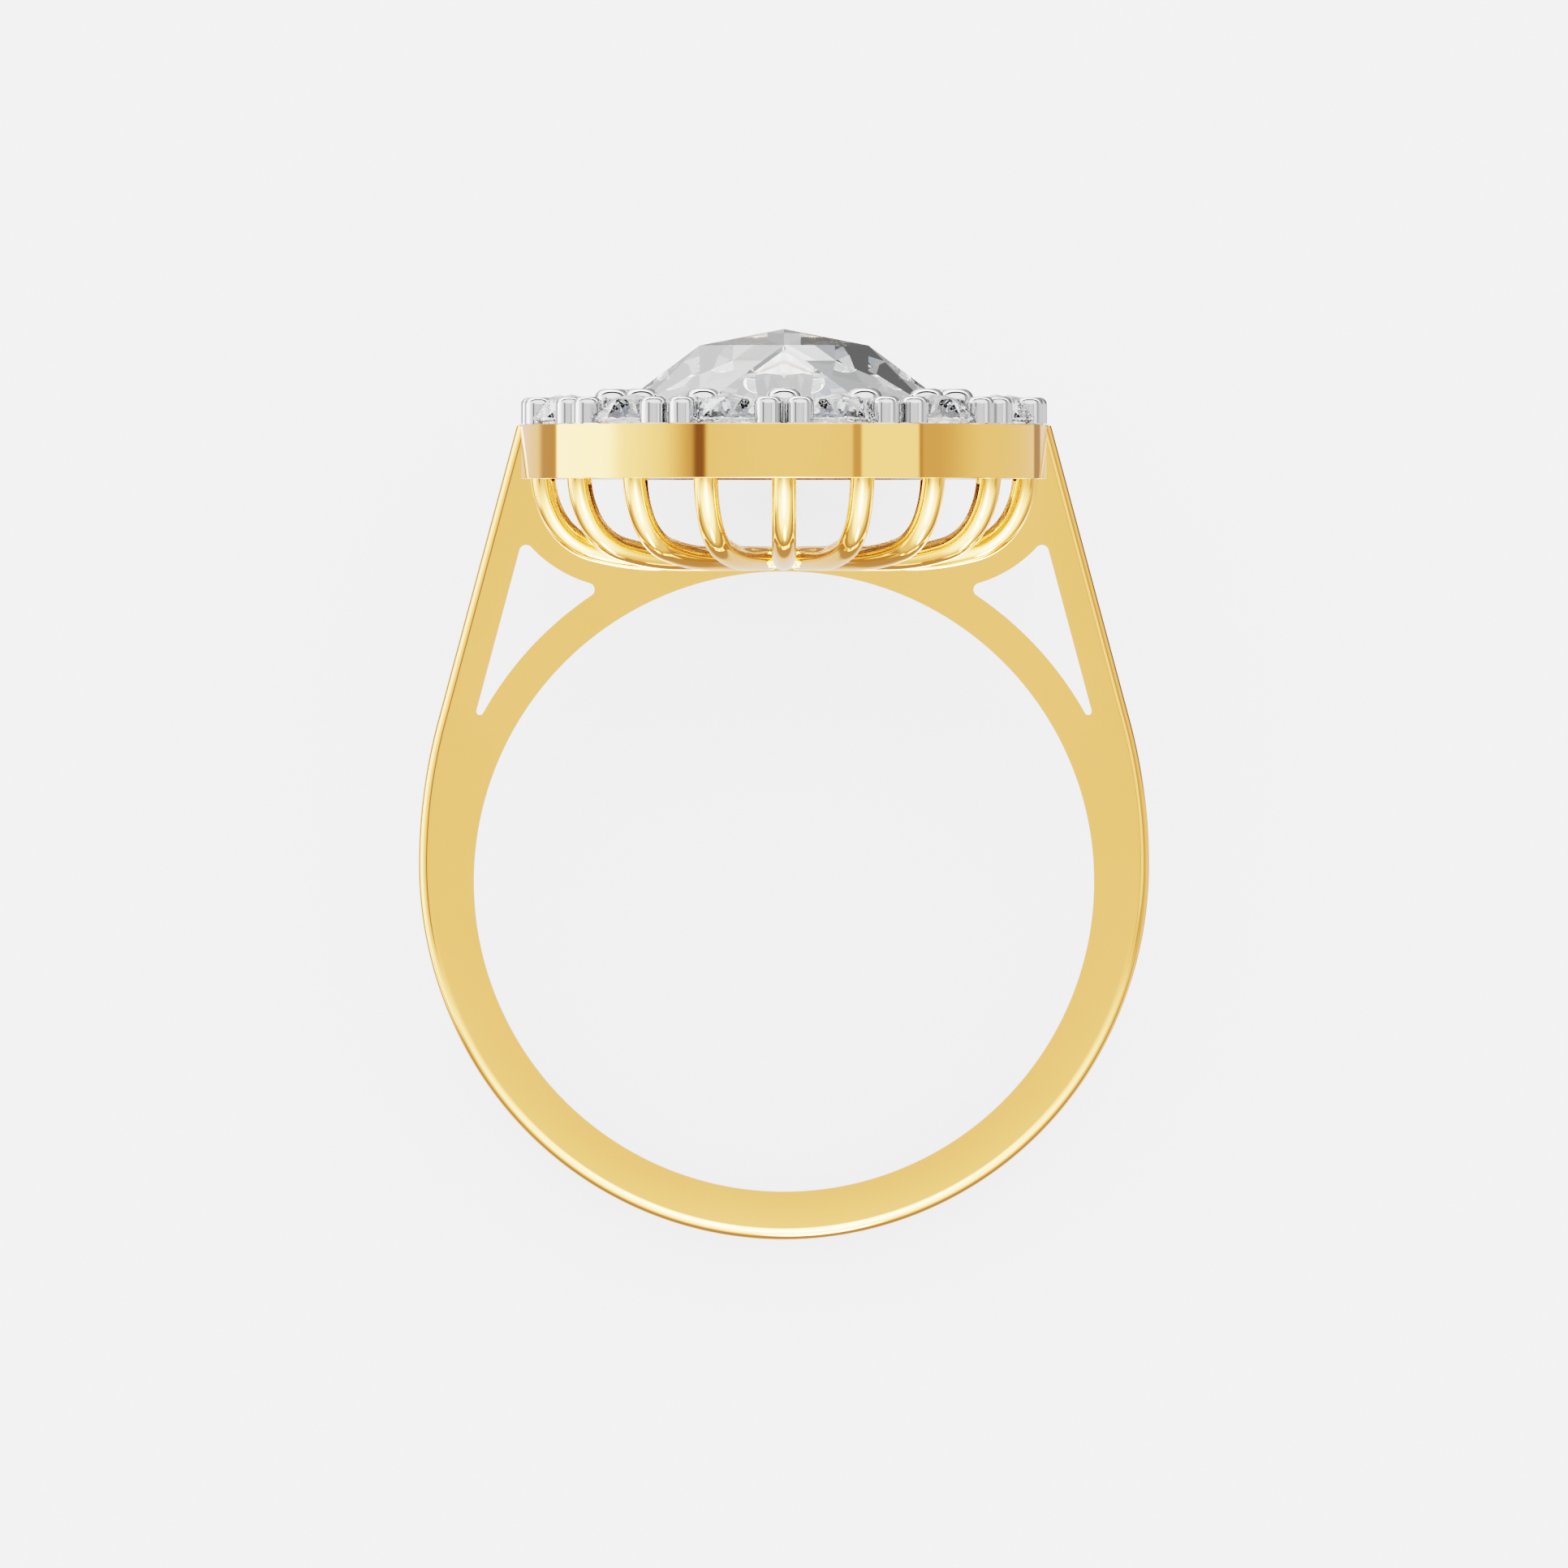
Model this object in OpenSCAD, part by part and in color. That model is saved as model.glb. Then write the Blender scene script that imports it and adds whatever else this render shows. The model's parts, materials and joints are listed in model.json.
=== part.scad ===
// Halo cocktail ring: a domed faceted stone in a ring of thirteen small stones,
// on a yellow metal band with a cage of round wires under the stones.
// It is modelled lying on its back, the way it comes to rest by itself.
//
// Two frames are used. The ring's own frame has the finger hole's centre as its
// origin, X across, Z up to the stones and Y along the finger. laid() turns it
// into the frame of the part, where Z is up from the surface it lies on.

/* [Band] */
// Inner diameter of the finger hole
finger_d = 17.3; // [17.2:0.05:17.4]
// Width of the band along the finger
band_w = 2.4; // [2.2:0.1:2.6]
// Thickness of the band at its lowest point
bottom_t = 1.34; // [1.3:0.02:1.4]
// Half the width of the ring at its widest point
half_w = 10.19; // [10.15:0.01:10.25]
// Height of the widest point above the finger hole's centre
waist_z = 0.48; // [0.4:0.02:0.56]
// Radius of the outline beside the finger hole
side_r = 10.87; // [10.85:0.01:10.9]
// Radius of the outline where the shoulder starts
shoulder_r = 15.4; // [15.3:0.1:15.5]
// Lean of the straight shoulder
shoulder_lean = 15; // [14.9:0.1:15.1]
// Radius of the rounded outer edges of the band
edge_round = 0.33; // [0.3:0.01:0.36]
// Width of the struts around the shoulder windows
strut = 0.97; // [0.9:0.01:1]
// Radius of the arc over a window
window_top_r = 3.6; // [3.55:0.05:3.65]
// Centre of the right-hand one of these arcs
window_top = [4.42, 11.78];
// Corner radius of a window beside the cage
window_round = 0.19; // [0.15:0.01:0.2]
// Corner radius at the lower tip of a window
window_tip = 0.1; // [0.08:0.01:0.12]

/* [Cage] */
// Number of wires in the cage
wires = 20; // [20:1:20]
// Diameter of a wire
wire_d = 0.68; // [0.66:0.01:0.7]
// Distance from the axis to the middle of an upright wire
wire_ring = 7.06; // [7.04:0.01:7.08]
// Height of the middle of the wires where they run level
wire_low_z = 9.01; // [9.01:0.01:9.03]
// Radius of each of the three bends of a wire, from the top
wire_bend = [2.53, 1.87, 8.08];
// Angle from the upright at the end of each bend
wire_turn = [30.4, 75.6, 90];
// Radius of the disc where the wires meet
hub_r = 2.35; // [2.3:0.05:2.4]
// Thickness of that disc
hub_t = 0.56; // [0.5:0.02:0.6]

/* [Rim] */
// Outer radius of the rim
rim_r = 7.416; // [7.41:0.002:7.42]
// Inner radius of the rim
rim_inner_r = 4.4; // [4.4:0.02:4.5]
// Height of the rim's lower edge
rim_low_z = 11.23; // [11.2:0.01:11.26]
// Height of the rim's upper edge
rim_top_z = 12.75; // [12.74:0.01:12.76]
// Radius of the recess that takes the claw plate
recess_r = 6.85; // [6.84:0.01:6.88]
// Height of the floor of the recess
recess_z = 11.75; // [11.7:0.05:11.8]

/* [Claws] */
// Radius of an outer claw
outer_claw_r = 0.385; // [0.38:0.005:0.39]
// Distance from the axis to an outer claw
outer_claw_ring = 6.97; // [6.96:0.01:6.98]
// Angle from the middle of a pair of outer claws to each claw
outer_claw_half = 3.67; // [3.6:0.01:3.7]
// Height of the top of the outer claws
outer_claw_z = 13.5; // [13.45:0.01:13.55]
// Rounding of the top of an outer claw
outer_claw_round = 0.2; // [0.15:0.05:0.25]
// Radius of an inner claw
inner_claw_r = 0.5; // [0.48:0.01:0.52]
// Distance from the axis to an inner claw
inner_claw_ring = 4.83; // [4.81:0.01:4.85]
// Height of the top of the inner claws
inner_claw_z = 13.74; // [13.7:0.01:13.78]
// Rounding of the top of an inner claw
inner_claw_round = 0.3; // [0.25:0.05:0.35]

/* [Stones] */
// Number of small stones in the halo
halo_stones = 13; // [13:1:13]
// Distance from the axis to the middle of a halo stone
halo_ring = 6.32; // [6.31:0.01:6.33]
// Radius of a halo stone
halo_r = 1.085; // [1.08:0.005:1.09]
// Radius of the ring of corners on top of a halo stone
halo_table_r = 0.7; // [0.65:0.05:0.75]
// Heights of a halo stone: tip, ring of corners, top and foot of the girdle, lowest point
halo_z = [13.58, 13.43, 12.95, 12.87, 12.0];
// Radius of the centre stone
center_r = 4.69; // [4.68:0.01:4.7]
// Radius of the ring of corners on top of the centre stone
center_table_r = 2.72; // [2.7:0.01:2.74]
// Heights of the centre stone: tip, ring of corners, top of the girdle, flat underside
center_z = [15.42, 14.95, 13.22, 12.8];
// Number of kites on the underside of a halo stone
halo_kites = 6; // [6:2:8]
// Distance from a halo stone's axis to the side corners of its kites
halo_kite_r = 0.45; // [0.4:0.05:0.5]
// Small gap between two pieces that fit together
gap = 0.02; // [0.02:0.005:0.03]

/* [Hidden] */
$fn = 64;

finger_r = finger_d / 2;
wire_r = wire_d / 2;
halo_step = 360 / halo_stones;
bottom_z = -(finger_r + bottom_t);

// The outline below the waist is an arc beside the hole and one under it, and
// they meet where their centres line up.
side_x = half_w - side_r;
waist_rise = waist_z - bottom_z;
bottom_r = (side_r^2 - waist_rise^2 - side_x^2) / (2 * (side_r - waist_rise));
bottom_c = bottom_z + bottom_r;
side_end = atan2(bottom_c - waist_z, -side_x);

// The straight shoulder starts where the shoulder's arc has turned by its lean.
shoulder_x = half_w - shoulder_r;
shoulder_start = [shoulder_x + shoulder_r * cos(shoulder_lean),
                  waist_z + shoulder_r * sin(shoulder_lean)];
shoulder_drop = 0.03;
shoulder_len = (rim_top_z - shoulder_drop - shoulder_start[1]) / cos(shoulder_lean);

// Thickness of the outer strip before the hole and the windows are cut
strip_t = 1.8;
// How far the flat web stays inside the outline
web_in = 0.6;
// Steps around a rounded edge, and the largest turn between two stations of the strip
edge_steps = 4;
strip_turn = 3.5;
// Length of what is cut through the band, and height of a cut past the rim
cut_w = 3 * band_w;
cut_over = 1;
// The small rounding of a window is used below this height
window_tip_top = 6;
bend_steps = 4;

// How deep the upright wires and the claws' feet are let into what holds them
root = 0.2;
// The cage's middle lines lie a little above the web's upper edge
web_drop = 0.03;
azure_r = 0.38;
stone_gap = 1.5 * gap;
cap_steps = 4;
// How far the stretches of a wire stop short of their joint, and the joint's excess radius
joint_short = 0.02;
joint_proud = 0.005;

// A wire is upright down to this height, and level from this radius inwards
upright_low_z = wire_low_z + bend_down(1) + bend_down(2) + bend_down(3);
level_end_x = wire_ring - bend_in(1) - bend_in(2) - bend_in(3);

// The ring lies on the back of the cage and on the lower back edge of the band. Both
// are round and touch the surface, which gives the tilt of the ring's axis.
lie_out = wire_ring - wire_bend[0] - (band_w / 2 - edge_round);
lie_rise = upright_low_z - (bottom_z + edge_round);
lie_round = wire_bend[0] + wire_r - edge_round;
tilt = acos(-lie_round / norm([lie_out, lie_rise])) - atan2(lie_rise, lie_out);

function halo_name(i) = str("halo_stone_", i < 10 ? "0" : "", i);
function turn_from(i) = i == 1 ? 0 : wire_turn[i - 2];
function bend_in(i) = wire_bend[i - 1] * (cos(turn_from(i)) - cos(wire_turn[i - 1]));
function bend_down(i) = wire_bend[i - 1] * (sin(wire_turn[i - 1]) - sin(turn_from(i)));
// Centre of a bend, and the middle line's point at an angle on it, moved out
function bend_x(i) = i == 1 ? wire_ring - wire_bend[0]
    : bend_x(i - 1) + (wire_bend[i - 2] - wire_bend[i - 1]) * cos(wire_turn[i - 2]);
function bend_z(i) = i == 1 ? upright_low_z
    : bend_z(i - 1) - (wire_bend[i - 2] - wire_bend[i - 1]) * sin(wire_turn[i - 2]);
function bend_at(i, a, out) = [bend_x(i) + (wire_bend[i - 1] + out) * cos(a),
                               bend_z(i) - (wire_bend[i - 1] + out) * sin(a)];
function polar(r, a, z) = [r * cos(a), r * sin(a), z];
// Depth of a stone's pavilion, 0 where its underside is flat
function depth(z) = len(z) > 4 ? z[3] - z[4] : 0;
// Half width of the straight shoulder's outline at a height, moved in
function shoulder_at(z, in) =
    shoulder_start[0] - (z - shoulder_start[1]) * tan(shoulder_lean) - in / cos(shoulder_lean);

// From the ring's own frame to the frame of the part
module laid() rotate([tilt - 90, 0, 0]) children();

// Turns a flat outline drawn in X and Z into a slab along the finger
module slab(width) rotate([90, 0, 0]) linear_extrude(height = width, center = true) children();

// Cross-section of the band's outer strip, as [outward, along the finger]
strip_edge = [for (s = [0:edge_steps]) let (a = 90 * s / edge_steps)
    [edge_round * (sin(a) - 1), band_w / 2 - edge_round * (1 - cos(a))]];
strip_section = concat(
    [[-strip_t, band_w / 2]], strip_edge,
    [for (s = [edge_steps:-1:0]) [strip_edge[s][0], -strip_edge[s][1]]],
    [[-strip_t, -band_w / 2]]);

// Stations along the right half of the outline, from the top of the shoulder to
// the lowest point, as [centre X, centre Z, radius, angle] of the arc there
function arc_stations(x, z, r, from, to) = let (steps = ceil(abs(to - from) / strip_turn))
    [for (s = [1:steps]) [x, z, r, from + (to - from) * s / steps]];
right_stations = concat(
    [[shoulder_x - shoulder_len * sin(shoulder_lean),
      waist_z + shoulder_len * cos(shoulder_lean), shoulder_r, shoulder_lean],
     [shoulder_x, waist_z, shoulder_r, shoulder_lean]],
    arc_stations(shoulder_x, waist_z, shoulder_r, shoulder_lean, 0),
    arc_stations(side_x, waist_z, side_r, 0, side_end),
    arc_stations(0, bottom_c, bottom_r, side_end, -90));
left_stations = [for (i = [len(right_stations) - 2:-1:0]) let (s = right_stations[i])
    [-s[0], s[1], s[2], 180 - s[3]]];

// The band's outer strip, swept from the top of one shoulder to the other
module strip() {
    stations = concat(right_stations, left_stations);
    n = len(strip_section);
    m = len(stations);
    points = [for (s = stations, p = strip_section)
        [s[0] + (s[2] + p[0]) * cos(s[3]), p[1], s[1] + (s[2] + p[0]) * sin(s[3])]];
    sides = [for (i = [0:m - 2], j = [0:n - 1]) let (k = (j + 1) % n)
        [i * n + j, (i + 1) * n + j, (i + 1) * n + k, i * n + k]];
    polyhedron(points = points, faces = concat(
        [[for (j = [0:n - 1]) j]], sides, [[for (j = [n - 1:-1:0]) (m - 1) * n + j]]));
}

// Right half of the region between the finger hole and the shoulder
function shoulder_region(in, low_z, top_z) = concat(
    [[0, low_z], [half_w - in, low_z]],
    [for (a = [0:3:shoulder_lean])
        [shoulder_x + (shoulder_r - in) * cos(a), waist_z + (shoulder_r - in) * sin(a)]],
    [[shoulder_at(top_z, in), top_z], [0, top_z]]);

// Right half of the bowl that the cage fills, grown outward
module bowl_half(out, top_z) {
    bends = [for (i = [1:3], s = [0:bend_steps - 1])
        bend_at(i, turn_from(i) + s / bend_steps * (wire_turn[i - 1] - turn_from(i)), out)];
    polygon(concat([[0, top_z], [wire_ring + out, top_z]], bends,
                   [[level_end_x, wire_low_z - out], [0, wire_low_z - out]]));
}

module window_sharp() {
    difference() {
        polygon(shoulder_region(strut, waist_z, rim_low_z));
        circle(r = finger_r + strut, $fn = 120);
        translate(window_top) circle(r = window_top_r, $fn = 120);
        square([2 * window_top[0], 2 * rim_top_z], center = true);
    }
}

module window_half() {
    offset(r = window_round, $fn = 32) offset(delta = -window_round) window_sharp();
    intersection() {
        offset(r = window_tip, $fn = 32) offset(delta = -window_tip) window_sharp();
        square([half_w, window_tip_top]);
    }
}

module band() {
    difference() {
        union() {
            strip();
            slab(band_w) for (m = [0, 1]) mirror([m, 0])
                polygon(shoulder_region(web_in, waist_z, recess_z));
        }
        rotate([90, 0, 0]) cylinder(r = finger_r, h = cut_w, center = true, $fn = 200);
        for (m = [0, 1]) mirror([m, 0, 0]) slab(cut_w) window_half();
        slab(cut_w) for (m = [0, 1]) mirror([m, 0])
            bowl_half(web_drop, rim_top_z + cut_over);
    }
}

// One bend of a wire, in the plane of X and Z, just short of its two ends
module wire_arc(i) {
    short = joint_short / wire_bend[i - 1] * 180 / PI;
    translate([bend_x(i), 0, bend_z(i)]) rotate([90, 0, 0])
        rotate([0, 0, short - wire_turn[i - 1]])
        rotate_extrude(angle = wire_turn[i - 1] - turn_from(i) - 2 * short)
        translate([wire_bend[i - 1], 0]) circle(r = wire_r);
}

// Solder joint between two stretches of a wire, a hair thicker than the wire
module wire_joint(i, a) {
    at = bend_at(i, a, 0);
    translate([at[0], 0, at[1]]) rotate([0, a, 0])
        cylinder(r = wire_r + joint_proud, h = 5 * joint_short, center = true);
}

module wire() {
    translate([wire_ring, 0, upright_low_z + joint_short])
        cylinder(r = wire_r, h = rim_low_z + root - upright_low_z - joint_short);
    wire_joint(1, 0);
    for (i = [1:3]) {
        wire_arc(i);
        wire_joint(i, wire_turn[i - 1]);
    }
    translate([hub_r - root, 0, wire_low_z]) rotate([0, 90, 0])
        cylinder(r = wire_r, h = level_end_x - joint_short - hub_r + root);
}

// Room for a stone and its clearance, with the hole that lets light in under it
module stone_room(r, z, table_r, hole_r, hole_z) {
    c = stone_gap;
    slope = depth(z) / r;
    rotate_extrude() polygon([
        [0, z[0] + c], [table_r, z[1] + c], [r + c, z[2] + c], [r + c, z[3] - c],
        [hole_r, z[3] - c - (r + c - hole_r) * slope], [hole_r, hole_z], [0, hole_z]]);
}

// Places children at each halo stone, turned to face outward
module at_halo(i) {
    rotate([0, 0, (i - 0.5) * halo_step - 90]) translate([halo_ring, 0, 0]) children();
}

module halo_rooms() {
    for (i = [1:halo_stones]) at_halo(i)
        stone_room(halo_r, halo_z, halo_table_r, azure_r, rim_low_z - cut_over);
}

module gold_mount() {
    color("goldenrod") laid() union() {
        band();
        difference() {
            rotate_extrude($fn = 200) polygon([
                [rim_inner_r, rim_low_z], [rim_r, rim_low_z], [rim_r, rim_top_z],
                [recess_r, rim_top_z], [recess_r, recess_z], [rim_inner_r, recess_z]]);
            halo_rooms();
        }
        for (i = [1:wires]) rotate([0, 0, i * 360 / wires - 90]) wire();
        translate([0, 0, wire_low_z - hub_t / 2]) cylinder(r = hub_r, h = hub_t);
    }
}

// A round claw with a rounded top
module claw(r, top_z, round) {
    cap = [for (s = [0:cap_steps])
        [r - round + round * cos(s * 90 / cap_steps), top_z - round + round * sin(s * 90 / cap_steps)]];
    rotate_extrude() polygon(concat(
        [[0, rim_top_z - root], [r, rim_top_z - root]], cap, [[0, top_z]]));
}

module claw_setting() {
    color("silver") laid() difference() {
        union() {
            rotate_extrude($fn = 200) polygon([
                [rim_inner_r, recess_z + gap], [recess_r - gap, recess_z + gap],
                [recess_r - gap, rim_top_z], [rim_inner_r, rim_top_z]]);
            for (i = [1:halo_stones], s = [-1, 1])
                rotate([0, 0, i * halo_step - 90 + s * outer_claw_half])
                translate([outer_claw_ring, 0, 0])
                claw(outer_claw_r, outer_claw_z, outer_claw_round);
            for (i = [1:halo_stones]) rotate([0, 0, i * halo_step - 90])
                translate([inner_claw_ring, 0, 0])
                claw(inner_claw_r, inner_claw_z, inner_claw_round);
        }
        // The outer claws stand over the rim, just clear of it
        difference() {
            cylinder(r = rim_r + cut_over, h = rim_top_z + gap, $fn = 200);
            translate([0, 0, -cut_over])
                cylinder(r = recess_r - gap, h = rim_top_z + 3 * cut_over, $fn = 200);
        }
        halo_rooms();
        stone_room(center_r, center_z, center_table_r, rim_inner_r - root, rim_low_z);
    }
}

// A domed stone with a pointed top: six facets around the tip, six and twelve below
// them, and a faceted girdle. Its underside is flat, or a pavilion of kites and
// triangles where the heights give one.
module cut_stone(r, z, table_r, kites = 0, kite_r = 0) {
    n = 24;
    turn = 360 / n;
    slope = (z[1] - z[2]) / ((r - table_r) * cos(turn));
    low_z = z[2] - slope * r * (1 - cos(turn));
    corner = 1;
    top = corner + 6;
    foot = top + n;
    kite = foot + n;
    culet = kite + kites;
    crown = concat(
        [for (k = [0:5]) [0, corner + (k + 1) % 6, corner + k]],
        [for (k = [0:5]) [corner + k, corner + (k + 1) % 6, top + 4 * k + 2]],
        [for (k = [0:5], s = [0, 2]) [corner + (k + s / 2) % 6,
            for (m = [2, 1, 0]) top + (4 * k + s + m) % n]]);
    girdle = [for (j = [0:n - 1]) [top + j, top + (j + 1) % n, foot + (j + 1) % n, foot + j]];
    per = kites > 0 ? n / kites : 0;
    kite_z = z[3] - depth(z) * (1 - kite_r / r * cos(180 / max(kites, 1)));
    under = kites == 0 ? [[for (j = [0:n - 1]) foot + j]] : concat(
        [for (i = [0:kites - 1]) [culet, kite + (i + kites - 1) % kites, foot + i * per, kite + i]],
        [for (i = [0:kites - 1], m = [0:per - 1])
            [kite + i, foot + i * per + m, foot + (i * per + m + 1) % n]]);
    points = concat(
        [[0, 0, z[0]]],
        [for (k = [0:5]) polar(table_r, 60 * k, z[1])],
        [for (j = [0:n - 1]) polar(r, turn * j, j % 2 == 0 ? z[2] : low_z)],
        [for (j = [0:n - 1]) polar(r, turn * j, z[3])],
        kites == 0 ? [] : [for (i = [0:kites - 1]) polar(kite_r, (i + 0.5) * 360 / kites, kite_z)],
        kites == 0 ? [] : [[0, 0, z[4]]]);
    polyhedron(points = points, faces = concat(crown, girdle, under));
}

module center_stone() {
    color("whitesmoke") laid() rotate([0, 0, -90])
        cut_stone(center_r, center_z, center_table_r);
}

module halo_stone(i) {
    color("aliceblue") laid() at_halo(i)
        cut_stone(halo_r, halo_z, halo_table_r, halo_kites, halo_kite_r);
}

gold_mount();
claw_setting();
center_stone();
for (i = [1:halo_stones]) halo_stone(i);
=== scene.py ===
"""A halo ring lying on its back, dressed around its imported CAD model.

Shapes are drawn in the ring's own frame, in millimetres: the origin is the finger
hole's centre, X runs across, Z up to the stones and Y along the finger, away from
the camera. settle() turns a finished mesh into the part's frame, in metres.
"""
import json
import math

import bmesh
import bpy
from mathutils import Matrix, Vector
from mathutils.geometry import delaunay_2d_cdt


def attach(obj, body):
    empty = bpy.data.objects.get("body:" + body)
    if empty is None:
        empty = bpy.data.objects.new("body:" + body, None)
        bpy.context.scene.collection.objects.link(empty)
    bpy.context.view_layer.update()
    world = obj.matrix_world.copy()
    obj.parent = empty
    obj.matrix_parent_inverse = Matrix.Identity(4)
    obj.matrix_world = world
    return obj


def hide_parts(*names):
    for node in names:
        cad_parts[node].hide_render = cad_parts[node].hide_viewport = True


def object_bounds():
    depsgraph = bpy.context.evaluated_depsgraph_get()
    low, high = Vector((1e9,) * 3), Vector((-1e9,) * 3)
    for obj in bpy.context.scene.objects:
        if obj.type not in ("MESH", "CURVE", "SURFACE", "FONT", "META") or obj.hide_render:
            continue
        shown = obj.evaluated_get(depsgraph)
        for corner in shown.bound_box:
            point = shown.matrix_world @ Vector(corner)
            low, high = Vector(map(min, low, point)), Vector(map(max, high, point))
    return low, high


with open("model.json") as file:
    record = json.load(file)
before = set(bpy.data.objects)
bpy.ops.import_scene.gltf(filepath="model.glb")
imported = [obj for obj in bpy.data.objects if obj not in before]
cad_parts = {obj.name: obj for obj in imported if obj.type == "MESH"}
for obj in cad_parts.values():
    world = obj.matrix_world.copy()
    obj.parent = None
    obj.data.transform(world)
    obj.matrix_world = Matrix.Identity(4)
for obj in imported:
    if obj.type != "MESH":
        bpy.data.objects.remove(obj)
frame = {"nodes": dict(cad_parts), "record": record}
cad_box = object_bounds()

# Sizes of the ring, in millimetres and degrees
MM = 0.001
FINGER_R = 8.65
BAND_HALF = 1.2
BOTTOM_Z = -9.99
HALF_W = 10.19
WAIST_Z = 0.48
SIDE_R = 10.87
SHOULDER_R = 15.4
LEAN = 15.0
SHOULDER_DROP = 0.03
EDGE_ROUND = 0.33
STRUT = 0.97
WINDOW_TOP = dict(centre=(4.42, 11.78), r=3.6)
WINDOW_ROUND = 0.19
WINDOW_TIP = 0.1
# Roughly where a window's corners are, which tells two crossings of a circle apart
WINDOW_TIP_NEAR_Z = 4.6
WINDOW_TOP_NEAR_Z = 9.3
WINDOW_INNER_NEAR = (5.3, 8.1)

WIRES = 20
WIRE_R = 0.34
WIRE_RING = 7.06
WIRE_LOW_Z = 9.01
WIRE_BEND = (2.53, 1.87, 8.08)
WIRE_TURN = (30.4, 75.6, 90.0)
HUB_R = 2.1
WIRE_END_R = 1.4
HUB_T = 0.56
HUB_EDGE = 0.08
WEB_DROP = 0.03

RIM_R = 7.416
RIM_INNER_R = 4.4
RIM_LOW_Z = 11.23
RIM_TOP_Z = 12.75
RECESS_R = 6.85
RECESS_Z = 11.75
# Rounding of the rim's edges, and the narrow strip that holds a round edge's shape
EDGE = 0.012

OUTER_CLAW = dict(r=0.385, ring=6.97, top=13.5, cap=0.2)
INNER_CLAW = dict(r=0.5, ring=4.83, top=13.74, cap=0.3)
OUTER_CLAW_HALF = 3.67
# How deep wires and claws are let into what holds them
ROOT = 0.2

HALO_STONES = 13
HALO_RING = 6.32
HALO = dict(r=1.085, table=0.7, z=(13.58, 13.43, 12.95, 12.87, 12.0))
CENTER = dict(r=4.69, table=2.72, z=(15.42, 14.95, 13.22, 12.8))
AZURE_R = 0.38
GAP = 0.02
STONE_GAP = 0.03
# How far a cut reaches past what it cuts
OVER = 1.0

# Steps around a full turn
HOLE_STEPS = 360
RIM_STEPS = 320
PLATE_STEPS = 240
HUB_STEPS = 96
ROOM_STEPS = 64
CLAW_STEPS = 48
WIRE_STEPS = 32

# Points closer than this are one, in millimetres
WELD = 1e-5
# Largest angle that is shaded smooth, and how square to an axis a flat face is
SHARP = 30.0
SQUARE = 0.99999

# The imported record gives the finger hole's axis, which points at the camera
TOWARD = Vector(frame["record"]["mounts"][0]["axis"]).normalized()
ACROSS = Vector((1, 0, 0))
UPWARD = ACROSS.cross(-TOWARD)
RING_TO_PART = Matrix((ACROSS, -TOWARD, UPWARD)).transposed().to_4x4()

# What the camera sees: the middle of the picture and the width of the view
VIEW_MIDDLE_Z = 2.72
VIEW_WIDTH = 43.75
VIEW_DISTANCE = 1.8
SENSOR = 36


def add_camera():
    """A camera that looks straight along the finger hole, from above the table."""
    data = bpy.data.cameras.new("camera")
    data.sensor_width = SENSOR
    data.lens = SENSOR * VIEW_DISTANCE / (VIEW_WIDTH * MM)
    data.clip_start, data.clip_end = 0.1, 10
    camera = bpy.data.objects.new("camera", data)
    bpy.context.scene.collection.objects.link(camera)
    place = Matrix((ACROSS, UPWARD, TOWARD)).transposed().to_4x4()
    place.translation = UPWARD * VIEW_MIDDLE_Z * MM + TOWARD * VIEW_DISTANCE
    camera.matrix_world = place
    bpy.context.scene.camera = camera


# Small helpers for angles and outlines


def cos(degrees):
    return math.cos(math.radians(degrees))


def sin(degrees):
    return math.sin(math.radians(degrees))


def atan2(y, x):
    return math.degrees(math.atan2(y, x))


def spread(start, end, steps):
    """Numbers from start to end, both included, in equal steps."""
    return [start + (end - start) * i / steps for i in range(steps + 1)]


def arc(centre, r, start, end, steps):
    """Points along an arc, from one angle to another."""
    return [(centre[0] + r * cos(a), centre[1] + r * sin(a)) for a in spread(start, end, steps)]


def mirrored(points):
    """Points with their mirror images on the left, in one continuous run."""
    return points + [(-x, z) for x, z in reversed(points)]


def crossing(centre_a, r_a, centre_b, r_b, near):
    """Where two circles cross, at the one of the two places that is nearer to a point."""
    (ax, az), (bx, bz) = centre_a, centre_b
    d = math.hypot(bx - ax, bz - az)
    along = (d * d + r_a * r_a - r_b * r_b) / (2 * d)
    off = math.sqrt(r_a * r_a - along * along)
    ux, uz = (bx - ax) / d, (bz - az) / d
    found = [(ax + ux * along - s * uz * off, az + uz * along + s * ux * off) for s in (-1, 1)]
    return min(found, key=lambda p: math.hypot(p[0] - near[0], p[1] - near[1]))


# Meshes


def new_object(name, points, faces):
    mesh = bpy.data.meshes.new(name)
    mesh.from_pydata(points, [], faces)
    mesh.validate()
    piece = bpy.data.objects.new(name, mesh)
    bpy.context.scene.collection.objects.link(piece)
    return piece


def tube_faces(rings, around):
    """Faces of a run of rings, each with the same number of points around it."""
    faces = []
    for i in range(rings - 1):
        j = i + 1
        for k in range(around):
            m = (k + 1) % around
            faces.append((i * around + k, i * around + m, j * around + m, j * around + k))
    return faces


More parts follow.
